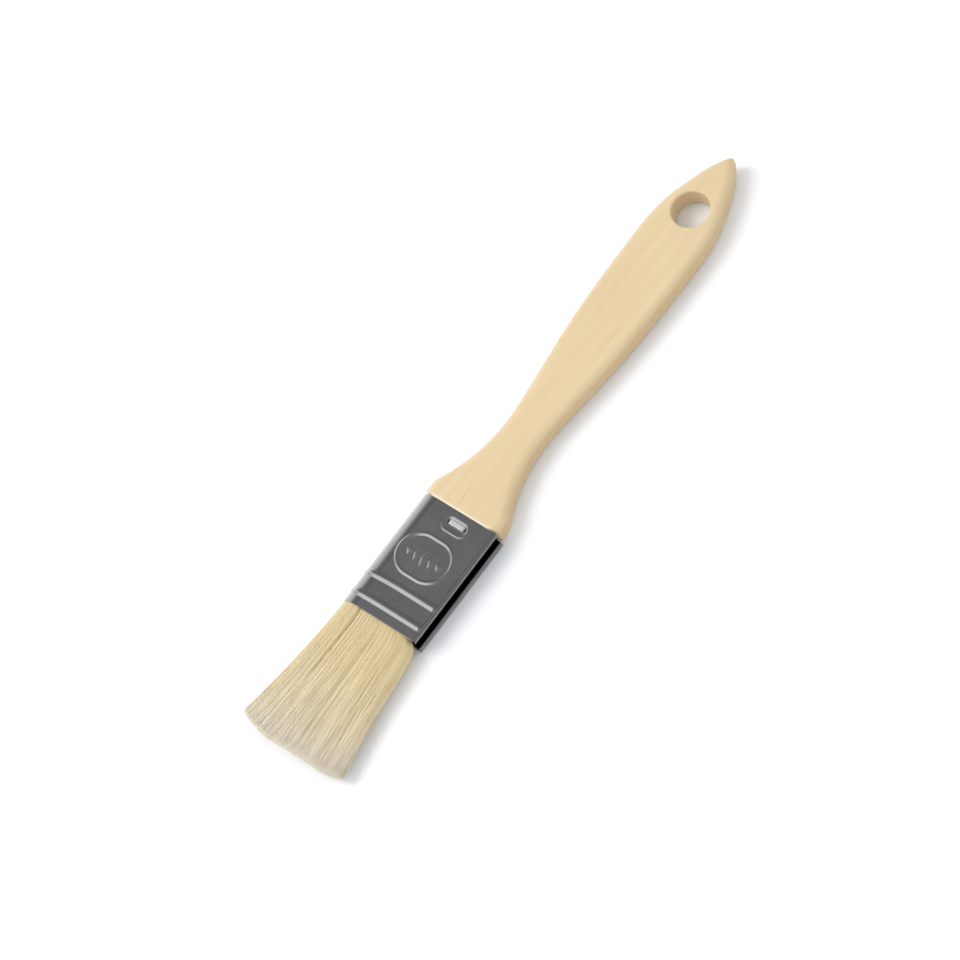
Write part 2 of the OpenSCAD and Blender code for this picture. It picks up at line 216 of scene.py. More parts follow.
class Nodes:
    """A short way to write a material's node tree."""

    def __init__(self, name):
        self.material = bpy.data.materials.new(name)
        self.material.use_nodes = True
        self.tree = self.material.node_tree
        self.shader = self.tree.nodes["Principled BSDF"]

    def add(self, kind, **values):
        node = self.tree.nodes.new(kind)
        for key, value in values.items():
            if hasattr(node, key) and key not in node.inputs:
                setattr(node, key, value)
            else:
                node.inputs[key].default_value = value
        return node

    def link(self, source, target):
        self.tree.links.new(source, target)

    def set(self, **values):
        for key, value in values.items():
            self.shader.inputs[key.replace("_", " ")].default_value = value

    def position(self, scale=(1.0, 1.0, 1.0)):
        coord = self.add("ShaderNodeTexCoord")
        mapping = self.add("ShaderNodeMapping", Scale=scale)
        self.link(coord.outputs["Object"], mapping.inputs["Vector"])
        return mapping.outputs["Vector"]

    def noise(self, scale, detail=4.0, roughness=0.5, stretch=(1.0, 1.0, 1.0), distortion=0.0):
        node = self.add("ShaderNodeTexNoise", Scale=scale, Detail=detail, Roughness=roughness,
                        Distortion=distortion)
        self.link(self.position(stretch), node.inputs["Vector"])
        return node.outputs["Fac"]

    def ramp(self, source, *stops):
        node = self.add("ShaderNodeValToRGB")
        elements = node.color_ramp.elements
        while len(elements) < len(stops):
            elements.new(0.5)
        for element, (place_at, color) in zip(elements, stops):
            element.position = place_at
            element.color = (*color, 1.0)
        self.link(source, node.inputs["Fac"])
        return node.outputs["Color"]

    def blend(self, factor, a, b, blend_type="MIX"):
        node = self.add("ShaderNodeMix", data_type="RGBA", blend_type=blend_type)
        for value, socket in ((factor, node.inputs[0]), (a, node.inputs[6]), (b, node.inputs[7])):
            if hasattr(value, "links"):
                self.link(value, socket)
            elif isinstance(value, tuple):
                socket.default_value = (*value, 1.0)
            else:
                socket.default_value = value
        return node.outputs[2]

    def attribute(self, name):
        return self.add("ShaderNodeAttribute", attribute_name=name).outputs["Fac"]

    def bump(self, height, distance, strength=1.0, under=None):
        node = self.add("ShaderNodeBump", Strength=strength, Distance=distance)
        self.link(height, node.inputs["Height"])
        if under is not None:
            self.link(under, node.inputs["Normal"])
        return node.outputs["Normal"]

    def to(self, socket, source):
        self.link(source, self.shader.inputs[socket])


def wood_material():
    """Pale close-grained wood under a clear satin lacquer; the grain runs along X. The narrow sides and
    the hole walls carry painted shade, darker and warmer, the bevel at the ferrule a paler painted
    highlight, and the joint at the ferrule a dark painted shade line."""
    m = Nodes("lacquered_wood")
    bands = m.noise(26.0, detail=3.0, roughness=0.55, stretch=(1.0, 9.0, 6.0), distortion=0.4)
    fibres = m.noise(420.0, detail=5.0, roughness=0.6, stretch=(0.035, 1.0, 1.0))
    flecks = m.noise(900.0, detail=2.0, roughness=0.4, stretch=(0.09, 1.0, 1.0))
    base = m.ramp(bands, (0.30, (0.700, 0.548, 0.328)), (0.55, (0.722, 0.572, 0.350)),
                  (0.75, (0.735, 0.590, 0.370)))
    fibre_tint = m.ramp(fibres, (0.30, (0.92, 0.89, 0.84)), (0.60, (1.0, 1.0, 1.0)))
    fleck_tint = m.ramp(flecks, (0.22, (0.86, 0.76, 0.62)), (0.32, (1.0, 1.0, 1.0)))
    color = m.blend(0.55, base, fibre_tint, "MULTIPLY")
    color = m.blend(0.55, color, fleck_tint, "MULTIPLY")
    # Painted shade: the narrow sides and the hole walls are darker and warmer below the faces.
    color = m.blend(m.attribute("painted_side_shade"), color, m.blend(1.0, color, (0.84, 0.77, 0.66), "MULTIPLY"))
    # Painted highlight: the bevel at the ferrule is paler.
    color = m.blend(m.attribute("painted_bevel_highlight"), color, (0.86, 0.80, 0.68))
    # Painted shade: a dark line in the gap at the ferrule.
    m.to("Base Color", m.blend(m.attribute("painted_joint_shade"), color, (0.10, 0.06, 0.04)))
    m.to("Roughness", m.ramp(fibres, (0.2, (0.46,) * 3), (0.8, (0.36,) * 3)))
    m.set(Coat_Weight=0.15, Coat_Roughness=0.25, Subsurface_Weight=0.06, Subsurface_Scale=0.002)
    m.shader.inputs["Subsurface Radius"].default_value = (1.0, 0.55, 0.25)
    m.to("Normal", m.bump(fibres, 0.00004, 0.35))
    return m.material


def tin_material():
    """Rolled tinplate: grey, gently brushed along the brush, with faint smears; painted shade makes it near
    black and rough in the seam and the staple's pits.
    """
    m = Nodes("tinplate")
    smears = m.noise(60.0, detail=4.0, roughness=0.6)
    brushed = m.noise(1500.0, detail=3.0, roughness=0.6, stretch=(0.04, 1.0, 1.0))
    # Painted shade from the sheet's mask: near black and rough in the seam's groove, the staple's pits, the
    # crease and on the seam's walls.
    painted_shade = m.attribute("painted_shade")
    metal = m.ramp(smears, (0.3, (0.50, 0.50, 0.51)), (0.7, (0.58, 0.58, 0.585)))
    m.to("Base Color", m.blend(painted_shade, metal, (0.006, 0.006, 0.007)))
    rough = m.blend(0.5, m.ramp(smears, (0.25, (0.20,) * 3), (0.75, (0.30,) * 3)),
                    m.ramp(brushed, (0.3, (0.20,) * 3), (0.7, (0.32,) * 3)))
    m.to("Roughness", m.blend(painted_shade, rough, (0.75,) * 3))
    m.set(Metallic=1.0)
    m.to("Normal", m.bump(brushed, 0.000006, 0.5, m.bump(smears, 0.00006, 0.25)))
    return m.material


def wire_material():
    """Bright galvanised staple wire with draw marks along it."""
    m = Nodes("staple_wire")
    marks = m.noise(2400.0, detail=3.0, stretch=(1.0, 0.06, 1.0))
    m.to("Base Color", m.ramp(marks, (0.3, (0.70, 0.70, 0.69)), (0.7, (0.82, 0.82, 0.81))))
    m.to("Roughness", m.ramp(marks, (0.3, (0.24,) * 3), (0.7, (0.38,) * 3)))
    m.set(Metallic=0.45)
    m.to("Normal", m.bump(marks, 0.00001, 0.5))
    return m.material


def bristle_material():
    """Washed natural bristle: straw at the ferrule, paler towards the split tips."""
    m = Nodes("bristle")
    coord = m.add("ShaderNodeTexCoord")
    split = m.add("ShaderNodeSeparateXYZ")
    m.link(coord.outputs["Object"], split.inputs[0])
    along = m.add("ShaderNodeMapRange", clamp=True)
    m.link(split.outputs["X"], along.inputs["Value"])
    along.inputs["From Min"].default_value = X_MOUTH
    along.inputs["From Max"].default_value = X_BRISTLE_TIP
    strand = m.attribute("strand")
    grow = m.ramp(along.outputs["Result"], (0.0, (0.80, 0.670, 0.410)), (0.35, (0.84, 0.715, 0.450)),
                  (0.72, (0.90, 0.80, 0.58)), (1.0, (0.94, 0.88, 0.75)))
    tint = m.ramp(strand, (0.0, (0.86, 0.79, 0.66)), (0.3, (0.96, 0.94, 0.90)), (0.7, (1.0, 1.0, 1.0)),
                  (1.0, (1.04, 1.05, 1.08)))
    streaks = m.ramp(m.noise(700.0, detail=3.0, stretch=(0.05, 1.0, 1.0)), (0.3, (0.90, 0.86, 0.80)),
                     (0.6, (1.0, 1.0, 1.0)))
    color = m.blend(0.75, grow, tint, "MULTIPLY")
    m.to("Base Color", m.blend(0.4, color, streaks, "MULTIPLY"))
    m.set(Roughness=0.42, Sheen_Weight=0.15, Sheen_Roughness=0.4)
    m.to("Normal", m.bump(m.noise(2600.0, detail=2.0, stretch=(0.2, 1.0, 1.0)), 0.00001, 0.4))
    return m.material


def card_material():
    """Hard grey-brown strawboard of the spacer plug."""
    m = Nodes("card")
    fibres = m.noise(500.0, detail=6.0, roughness=0.7, stretch=(0.4, 1.0, 3.0))
    m.to("Base Color", m.ramp(fibres, (0.3, (0.36, 0.25, 0.14)), (0.7, (0.58, 0.45, 0.29))))
    m.set(Roughness=0.85)
    m.to("Normal", m.bump(fibres, 0.00008, 0.7))
    return m.material


def resin_material():
    """Amber setting resin with a few bubbles."""
    m = Nodes("resin")
    clouds = m.noise(220.0, detail=4.0)
    bubbles = m.add("ShaderNodeTexVoronoi", Scale=900.0)
    m.link(m.position(), bubbles.inputs["Vector"])
    m.to("Base Color", m.ramp(clouds, (0.3, (0.30, 0.14, 0.035)), (0.7, (0.46, 0.25, 0.08))))
    m.set(Roughness=0.25, Coat_Weight=0.3)
    m.to("Normal", m.bump(bubbles.outputs["Distance"], 0.00006, 0.5))
    return m.material


def paper_material():
    """The plain pale floor."""
    m = Nodes("floor_paper")
    grain = m.noise(900.0, detail=2.0)
    m.to("Base Color", m.ramp(grain, (0.0, (0.885, 0.90, 0.925)), (1.0, (0.905, 0.92, 0.945))))
    m.set(Roughness=0.9)
    m.shader.inputs["Specular IOR Level"].default_value = 0.1
    return m.material


# ---------- handle ----------

def cad_outline():
    """[x, half width] of the handle outside the ferrule, read from the CAD node's own rings."""
    rings = {}
    for vertex in frame["nodes"]["handle"].data.vertices:
        if vertex.co.x > X_FERRULE_END - 1e-6:
            rings.setdefault(round(vertex.co.x, 6), []).append(vertex.co)
    stations = []
    for x, points in sorted(rings.items()):
        heights = {round(p.z, 6) for p in points}
        if len(heights) > 8:
            stations.append((x, max(abs(p.y) for p in points)))
    return np.array(stations)


def smooth_curve(xs, outline):
    """The outline at the stations, with the corners between its chords eased."""
    span = 1.6 * MM
    offsets = np.linspace(-span, span, 9)
    samples = np.interp(xs[:, None] + offsets[None, :], outline[:, 0], outline[:, 1])
    weights = 1 - np.abs(offsets / span) * 0.9
    eased = (samples * weights).sum(axis=1) / weights.sum()
    exact = np.interp(xs, outline[:, 0], outline[:, 1])
    keep = smoothstep(4 * MM, 7 * MM, np.minimum(xs - outline[0, 0], (outline[-1, 0] - xs) * 1.5))
    return mix(exact, eased, keep)


def handle_stations():
    """Close stations for the visible handle, denser at its tip, with their half widths."""
    outline = cad_outline()
    outline[0, 1] = outline[1, 1]
    x_tip = outline[-1, 0]
    past_bulge = x_tip - outline[:-1, 0] - TIP_FULLNESS_AT
    outline[:-1, 1] += TIP_FULLNESS * np.exp(-(past_bulge / TIP_FULLNESS_AT) ** 2)
    bevel = X_FERRULE_END + BEVEL_L * np.array([0.0, 0.1, 0.25, 0.45, 0.7, 1.0])
    body = np.arange(X_FERRULE_END + 1.3 * MM, x_tip - 3.4 * MM, 0.8 * MM)
    tip = x_tip - TIP_ROUND_L * np.linspace(1.0, 0.0, 16) ** 1.7
    xs = np.concatenate([bevel, body, tip])
    return xs, smooth_curve(xs, outline)


def rounded_ring(x, centre_y, half_w, half_t, radius, steps=9):
    """A rounded rectangle across the brush, with a support point beside each round corner."""
    ry = min(radius, half_w * 0.92)
    rz = min(radius, half_t * 0.85)
    support = 0.25 * MM
    points = []
    for quarter in range(4):
        sy = 1 if quarter in (0, 3) else -1
        sz = 1 if quarter < 2 else -1
        for k in range(steps + 1):
            a = math.pi / 2 * (quarter + k / steps)
            points.append((x, centre_y + sy * (half_w - ry) + ry * math.cos(a),
                           Z_MID + sz * (half_t - rz) + rz * math.sin(a)))
        corner = points[-1]
        step = min(support, (half_w - ry if quarter in (0, 2) else half_t - rz) * 0.5)
        if quarter in (0, 2):
            points.append((x, corner[1] - sy * step, corner[2]))
        else:
            points.append((x, corner[1], corner[2] - sz * step))
        nxt = math.pi / 2 * (quarter + 1)
        qn = (quarter + 1) % 4
        ny = 1 if qn in (0, 3) else -1
        nz = 1 if qn < 2 else -1
        start = (centre_y + ny * (half_w - ry) + ry * math.cos(nxt),
                 Z_MID + nz * (half_t - rz) + rz * math.sin(nxt))
        if quarter in (0, 2):
            points.append((x, start[0] + sy * step, start[1]))
        else:
            points.append((x, start[0], start[1] + sz * step))
    return points


def make_handle(material):
    """The shaped wooden handle with its tang, bevel, pointed tip and hanging hole."""
    half_t = (HANDLE_HIGH.z - HANDLE_LOW.z) / 2
    foot_half_t = HALF_T - SHEET_T + 0.05 * MM
    tang_half_t = HALF_T - SHEET_T - DIMPLE_DEPTH - 0.05 * MM
    xs, halves = handle_stations()
    tang_points = [v.co for v in frame["nodes"]["handle"].data.vertices if v.co.x < X_TANG_END + 1e-5]
    tang_low = min(p.y for p in tang_points)
    tang_high = max(p.y for p in tang_points)
    tang_y, tang_half = (tang_low + tang_high) / 2, (tang_high - tang_low) / 2
    rings = [rounded_ring(x, tang_y, tang_half - 0.9 * MM, tang_half_t, tang_half_t)
             for x in (X_TANG_END, X_TANG_END + 1 * MM, X_FERRULE_END - 0.3 * MM, X_FERRULE_END - 0.1 * MM)]
    for x, half in zip(xs, halves):
        from_tip = X_HANDLE_TIP - x
        drop = 0.0
        if from_tip < EDGE_R:
            drop = EDGE_R * TIP_DROP_SHARE * (1 - math.sqrt(max(0.0, 1 - (1 - from_tip / EDGE_R) ** 2)))
        from_end = x - X_FERRULE_END
        if from_end < BEVEL_L:
            round_over = 1 - math.sqrt(max(0.0, 1 - (1 - from_end / BEVEL_L) ** 2))
            drop = (half_t - foot_half_t) * round_over
            half -= BEVEL_INSET * round_over
        rings.append(rounded_ring(x, 0.0, half, half_t - drop, EDGE_R))
    points = [p for ring in rings for p in ring]
    handle = new_object("wood_handle", points, closed_loft(len(rings), len(rings[0])))
    cut_hanging_hole(handle)
    at = vertex_array(handle)
    under = half_t - np.abs(at[:, 2] - Z_MID)
    from_end = at[:, 0] - X_FERRULE_END
    # Painted shade on the narrow sides and the hole walls, deeper below the flat faces.
    paint(handle, "painted_side_shade", smoothstep(0.8 * MM, 2.2 * MM, under))
    # Painted highlight on the bevel next to the ferrule.
    paint(handle, "painted_bevel_highlight", 0.7 * (1 - smoothstep(0.5 * MM, 0.9 * MM, from_end)))
    # Painted shade: a thin dark line in the gap against the ferrule.
    paint(handle, "painted_joint_shade", 1 - smoothstep(0.06 * MM, 0.22 * MM, from_end))
    return place(handle, material, "lacquered_wood", "handle")


def hanging_hole():
    """Centre and radius of the hanging hole, from the record's mount."""
    mount = next(m for m in frame["record"]["mounts"] if m["name"] == "hanging_hole")
    return Vector(mount["pos_m"]), mount["dims"]["r_mm"] * MM


def cut_hanging_hole(handle):
    """Bores the hole and rounds both its rims with one turned cutter."""
    centre, radius = hanging_hole()
    half = (HANDLE_HIGH.z - HANDLE_LOW.z) / 2
    segments, turns = 6, 128
    rim = radius + HOLE_RIM_R
    profile = [(rim + 0.3 * MM, half + 1 * MM), (rim, half)]
    for k in range(1, segments + 1):
        a = math.pi / 2 * k / segments
        profile.append((rim - HOLE_RIM_R * math.sin(a), half - HOLE_RIM_R + HOLE_RIM_R * math.cos(a)))
    profile += [(r, -z) for r, z in reversed(profile)]
    points = []
    for r, z in profile:
        for k in range(turns):
            a = math.tau * k / turns
            points.append((centre.x + r * math.cos(a), centre.y + r * math.sin(a), Z_MID + z))
    cutter = new_object("hole_cutter", points, closed_loft(len(profile), turns))
    cut = handle.modifiers.new("hole", "BOOLEAN")
    cut.operation = "DIFFERENCE"
    cut.solver = "EXACT"
    cut.object = cutter
    normals = handle.modifiers.new("normals", "WEIGHTED_NORMAL")
    normals.weight = 80
    apply_modifiers(handle)
    handle.data.polygons.foreach_set("use_smooth", [True] * len(handle.data.polygons))
    bpy.data.objects.remove(cutter)


# ---------- ferrule ----------

def rounded_path(corners, step):
    """Points, unit normals and step sizes along a path of (y, z, radius) corners."""
    path = [np.array(corners[0][:2])]
    for before, corner, after in zip(corners, corners[1:], corners[2:]):
        here, r = np.array(corner[:2]), corner[2]
        d0 = here - np.array(before[:2])
        d1 = np.array(after[:2]) - here
        d0, d1 = d0 / np.linalg.norm(d0), d1 / np.linalg.norm(d1)
        turn = math.acos(float(np.clip(d0 @ d1, -1, 1)))
        cut = r * math.tan(turn / 2)
        start, end = here - d0 * cut, here + d1 * cut
        side = 1.0 if d0[0] * d1[1] - d0[1] * d1[0] > 0 else -1.0
        centre = start + side * r * np.array([-d0[1], d0[0]])
        path.append(start)
        count = max(5, int(turn * r / step))
        arm = start - centre
        for k in range(1, count):
            a = side * turn * k / count
            c, s = math.cos(a), math.sin(a)
            path.append(centre + np.array([arm[0] * c - arm[1] * s, arm[0] * s + arm[1] * c]))
        path.append(end)
    path.append(np.array(corners[-1][:2]))
    return path


def fill_path(path, fine, coarse, is_fine):
    """Adds points on the long straight runs of a path."""
    points = [path[0]]
    for a, b in zip(path, path[1:]):
        gap = np.linalg.norm(b - a)
        step = fine if is_fine((a + b) / 2) else coarse
        count = max(1, int(math.ceil(gap / step)))
        points += [mix(a, b, k / count) for k in range(1, count + 1)]
    return np.array(points)


def sheet_path():
    """The outer face of the folded sheet, from the front sheet's edge in the seam's groove,
    over the front fold, the front, the full plain side and the back, to the back sheet's edge."""
    groove_y = -(HALF_W - SEAM_DEPTH)
    under_y = groove_y + SHEET_T + 0.03 * MM
    fold_z = HALF_T - FRONT_FOLD_H
    hem_z = -HALF_T + BACK_HEM_H
    hem_y = -(HALF_W + HEM_PROUD)
    side_y = HALF_W - SIDE_W
    front = [
        (groove_y, hem_z + 0.12 * MM, 0),
        (groove_y, fold_z, 0.25 * MM),
        (-HALF_W, fold_z, FOLD_R),
        (-HALF_W, HALF_T, FOLD_R),
        (side_y, HALF_T, 0),
    ]
    back = [
        (side_y, -HALF_T, 0),
        (hem_y, -HALF_T, FOLD_R),
        (hem_y, hem_z, FOLD_R),
        (under_y, hem_z, 0.3 * MM),
        (under_y, fold_z - 0.5 * MM, 0),
    ]
    turns = np.linspace(0, math.pi, 61)[1:-1]
    side = [np.array([side_y + SIDE_W * math.sin(a), HALF_T * math.cos(a)]) for a in turns]
    path = rounded_path(front, 0.22 * MM) + side + rounded_path(back, 0.22 * MM)
    on_front = lambda p: p[1] > HALF_T - 0.4 * MM
    return fill_path(path, 0.19 * MM, 0.45 * MM, on_front)


def path_normals(points):
    """Outward unit normals of the sheet's section."""
    ahead = np.roll(points, -1, axis=0) - points
    ahead[-1] = ahead[-2]
    back = points - np.roll(points, 1, axis=0)
    back[0] = back[1]
    ahead /= np.linalg.norm(ahead, axis=1)[:, None]
    back /= np.linalg.norm(back, axis=1)[:, None]
    tangent = ahead + back
    tangent /= np.linalg.norm(tangent, axis=1)[:, None]
    return np.stack([-tangent[:, 1], tangent[:, 0]], axis=1)


def sheet_stations():
    """Stations along the ferrule, close together at the beads, the ornament and the dimple."""
    xs = np.concatenate([
        X_MOUTH + np.array([0.0, 0.05, 0.12, 0.25, 0.45]) * MM,
        np.arange(X_MOUTH + 0.7 * MM, X_FERRULE_END - 0.5 * MM, 0.175 * MM),
        X_FERRULE_END - np.array([0.45, 0.25, 0.12, 0.05, 0.0]) * MM,
    ])
    return np.unique(xs)


def bead_relief(x, y, along, total):
    """Two beads that run round the plain side and close near the seam on the front and the back.
    They sag towards the bristle on the plain side and are shallow round its edge."""
    relief = np.zeros_like(x)
    beyond = np.maximum(0.0, np.maximum(total[0] - along, along - total[1]))
    height = BEAD_H * (1 - 0.6 * smoothstep(HALF_W - 2.6 * MM, HALF_W - 0.5 * MM, y))
    towards_side = np.clip((y + 2 * MM) / (HALF_W + 2 * MM), 0, 1) ** 2
    for k, sag in enumerate((0.7 * MM, 0.3 * MM)):
        station = X_FERRULE_END - BEAD_FROM_END - k * BEAD_PITCH - sag * towards_side
        r = np.hypot(x - station, beyond) / BEAD_HALF_WIDTH
        relief = np.maximum(relief, height * np.clip(1 - r * r, 0, 1) ** 1.5)
    return relief


def stadium_distance(x, y):
    """Signed distance from the ornament's stadium outline, which lies across the brush."""
    radius = ORNAMENT_L / 2
    reach = (ORNAMENT_W - ORNAMENT_L) / 2
    return np.hypot(x, np.maximum(0.0, np.abs(y) - reach)) - radius


def ornament_relief(x, y):
    """A stadium frame round a row of five lozenges, pressed up from behind."""
    line_half = 0.5 * MM
    x = x - (X_FERRULE_END - ORNAMENT_FROM_END)
    ring = np.abs(stadium_distance(x, y) + line_half) / (line_half * 1.25)
    relief = ORNAMENT_H * np.clip(1 - ring * ring, 0, 1) ** 1.2
    for k, length in enumerate((3.0, 4.6, 6.2, 4.6, 3.0)):
        dy = y - (k - 2) * ORNAMENT_W / 7
        r = np.abs(x) / (length / 2 * MM) + np.abs(dy) / (1.0 * MM)
        relief = np.maximum(relief, ORNAMENT_H * smoothstep(1.15, 0.45, r))
    return relief


def dimple_relief(x, y):
    """The dent that the staple makes in the sheet, with a lip pushed up beside it and a
    pit where each leg goes in."""
    dx = x - (STAPLE_LOW.x + STAPLE_HIGH.x) / 2 + DIMPLE_SHIFT
    dy = y - (STAPLE_LOW.y + STAPLE_HIGH.y) / 2
    r = np.hypot(dx / DIMPLE_REACH, np.maximum(0.0, np.abs(dy) - DIMPLE_HALF_L) / DIMPLE_REACH)
    dent = -DIMPLE_DEPTH * np.clip(1 - r * r, 0, 1) ** 1.1
    lip = 0.17 * MM * np.exp(-((r - 1.12) / 0.17) ** 2) * smoothstep(0.3, -0.6, dx / (2 * MM))
    return dent + lip - 0.25 * MM * staple_pits(x, y)


def staple_pits(x, y):
    """1 where the staple's legs pierce the sheet, fading to 0 round them."""
    dx = x - (STAPLE_LOW.x + STAPLE_HIGH.x) / 2
    reach = (STAPLE_HIGH.y - STAPLE_LOW.y) / 2
    dy = np.abs(y - (STAPLE_LOW.y + STAPLE_HIGH.y) / 2) - reach
    return smoothstep(1.0, 0.45, np.hypot(dx / (0.95 * MM), dy / (0.65 * MM)))


def seam_crease(y):
    """A fine crease in the front just inside the seam's fold."""
    return np.exp(-((y + HALF_W - 1.15 * MM) / (0.22 * MM)) ** 2)


def sheet_relief(x, y, z, along, beaded):
    """How far each point of the sheet stands proud of the plain fold."""
    front = smoothstep(0.45 * HALF_T, 0.75 * HALF_T, z)
    back = smoothstep(0.45 * HALF_T, 0.75 * HALF_T, -z)
    relief = bead_relief(x, y, along, beaded)
    relief += front * (ornament_relief(x, y) - 0.07 * MM * seam_crease(y))
    relief += (front + back) * dimple_relief(x, y)
    relief += 0.012 * MM * wave_noise(x / (9 * MM), y / (7 * MM), 5) * (front + back)
    return relief


def sheet_painted_shade(x, y, z):
    """Painted shade: near black in the seam's groove and in the staple's pits, half strength on the seam's
    walls and a little less along the crease inside the front fold.
    """
    fold_z = HALF_T - FRONT_FOLD_H
    hem_z = -HALF_T + BACK_HEM_H
    by_seam = smoothstep(-HALF_W + SEAM_DEPTH + 1.2 * MM, -HALF_W + SEAM_DEPTH + 0.8 * MM, y)
    over_hem = smoothstep(hem_z - 0.35 * MM, hem_z - 0.05 * MM, z)
    under_fold = smoothstep(fold_z + 0.45 * MM, fold_z + 0.1 * MM, z)
    groove = by_seam * (over_hem * under_fold) * smoothstep(-HALF_W - 0.35 * MM, -HALF_W + 0.1 * MM, y)
    walls = 0.5 * smoothstep(-HALF_W + 0.35 * MM, -HALF_W + 0.1 * MM, y)
    front = z > 0.5 * HALF_T
    crease = 0.45 * seam_crease(y) * front
    pits = staple_pits(x, y) * (np.abs(z) > 0.5 * HALF_T)
    return np.maximum.reduce([groove, walls, crease, pits])


def make_ferrule(material):
    """The folded sheet: its section drawn out along the brush, pressed, and given its thickness."""
    section = sheet_path()
    normal = path_normals(section)
    steps = np.linalg.norm(np.diff(section, axis=0), axis=1)
    along = np.concatenate([[0.0], np.cumsum(steps)])
    on_front = np.where(section[:, 1] > HALF_T - 1e-7)[0]
    on_back = np.where(section[:, 1] < -HALF_T + 1e-7)[0]
    end_y = -(HALF_W - BEAD_MARGIN)
    front_end = along[on_front[np.argmin(abs(section[on_front, 0] - end_y))]]
    back_end = along[on_back[np.argmin(abs(section[on_back, 0] - end_y))]]
    xs = sheet_stations()
    rows, columns = len(xs), len(section)
    x = np.repeat(xs[:, None], columns, axis=1)
    y = np.repeat(section[None, :, 0], rows, axis=0)
    z = np.repeat(section[None, :, 1], rows, axis=0)
    s = np.repeat(along[None, :], rows, axis=0)
    relief = sheet_relief(x, y, z, s, (front_end, back_end))
    edge = np.minimum(x - X_MOUTH, X_FERRULE_END - x)
    ease = 0.03 * MM * (1 - smoothstep(0.0, 0.08 * MM, edge))
    points = []
    for depth in (relief - ease, relief - SHEET_T + ease):
        py = y + normal[None, :, 0] * depth
        pz = Z_MID + z + normal[None, :, 1] * depth
        points.append(np.stack([x, py, pz], axis=2).reshape(-1, 3))
    count = rows * columns
    faces = grid_faces(rows, columns, flip=True)
    faces += [tuple(i + count for i in f[::-1]) for f in faces]
    rim = ([c for c in range(columns)] + [r * columns + columns - 1 for r in range(1, rows)]
           + [(rows - 1) * columns + c for c in range(columns - 2, -1, -1)]
           + [r * columns for r in range(rows - 2, 0, -1)])
    for a, b in zip(rim, rim[1:] + rim[:1]):
        faces.append((a, b, b + count, a + count))
    ferrule = new_object("tin_ferrule", np.concatenate(points), faces)
    # Painted shade in the seam's groove, the staple's pits, the crease and on the seam's walls.
    paint(ferrule, "painted_shade", np.tile(sheet_painted_shade(x, y, z).reshape(-1), 2))
    return place(ferrule, material, "tinplate", "ferrule")


# ---------- staples ----------

def make_staple(side, material):
    """A flattened wire bent down at both ends of its crown; side is 1 for the front."""
    low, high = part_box("staple_front" if side > 0 else "staple_back")
    wire_w = high.x - low.x
    reach = (high.y - low.y) / 2
    centre_y = (high.y + low.y) / 2
    crown_z, leg_z = (high.z, low.z) if side > 0 else (low.z, high.z)
    corners = [(-reach, leg_z, 0), (-reach, crown_z, WIRE_BEND_R),
               (reach, crown_z, WIRE_BEND_R), (reach, leg_z, 0)]
    path = fill_path(rounded_path(corners, 0.12 * MM), 0.5 * MM, 0.5 * MM, lambda p: True)
    outward = path_normals(path) * side
    ring = []
    for quarter, (sx, sn) in enumerate(((1, 1), (-1, 1), (-1, -1), (1, -1))):
        for k in range(4):
            a = math.pi / 2 * (quarter + k / 3)
            ring.append((sx * (wire_w / 2 - WIRE_EDGE_R) + WIRE_EDGE_R * math.cos(a),
                         sn * (WIRE_T / 2 - WIRE_EDGE_R) + WIRE_EDGE_R * math.sin(a)))
    centre_x = (low.x + high.x) / 2
    points = []
    for p, n in zip(path, outward):
        for across, up in ring:
            y, z = p + n * (up - WIRE_T / 2)
            points.append((centre_x + across, centre_y + y, z))
    name = "front" if side > 0 else "back"
    staple = new_object(f"wire_staple_{name}", points, closed_loft(len(path), len(ring), flip=side > 0))
    normals_outward(staple)
    return place(staple, material, "staple_wire", f"staple_{name}")


def normals_outward(obj):
    shell = bmesh.new()
    shell.from_mesh(obj.data)
    bmesh.ops.recalc_face_normals(shell, faces=shell.faces)
    shell.to_mesh(obj.data)
    shell.free()


# ---------- setting resin ----------

def make_resin(material):
    """The cast resin between the butts and the tang, inside the ferrule's full sides."""
    low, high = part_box("setting_resin")
    half_w = (high.y - low.y) / 2 - 1 * MM
    half_t = HALF_T - SHEET_T - 0.1 * MM
    ends = (low.x, low.x + 0.4 * MM, high.x - 0.4 * MM, high.x)
    rings = [rounded_ring(x, (low.y + high.y) / 2, half_w - inset * MM, half_t - inset * MM, half_t)
             for x, inset in zip(ends, (0.2, 0.0, 0.0, 0.2))]
    points = [p for ring in rings for p in ring]
    resin = new_object("cast_resin", points, closed_loft(len(rings), len(rings[0])))
    return place(resin, material, "resin", "setting_resin")


# ---------- bristle ----------

HAIRS_PER_LOCK = 900
HAIR_SIDES = 4
HAIR_RINGS = 11
ROOT_R = 0.075 * MM
TIP_R = 0.032 * MM
# How far the tuft's rounded edges reach in from its narrow sides.
CORNER_W = 4.8 * MM
# How far the tuft leans towards the seam side, grows past the CAD locks and spreads at its tips.
LEAN = 0.86 * MM
OVERHANG = 1.0 * MM
TIP_SPREAD = 1.75 * MM
# Each parting: share across the row from the seam side, where it starts and ends along the
# bristle, how far it opens, how deep it lies and how wide its slopes are.
PARTINGS = (
    (0.745, -0.10, 0.66, 0.14 * MM, 0.50 * MM, 0.45 * MM),
    (0.460, 0.12, 1.10, 0.10 * MM, 0.65 * MM, 1.50 * MM),
    (0.185, 0.26, 0.70, 0.10 * MM, 0.40 * MM, 0.45 * MM),
    (0.075, 0.22, 0.62, 0.08 * MM, 0.30 * MM, 0.40 * MM),
)


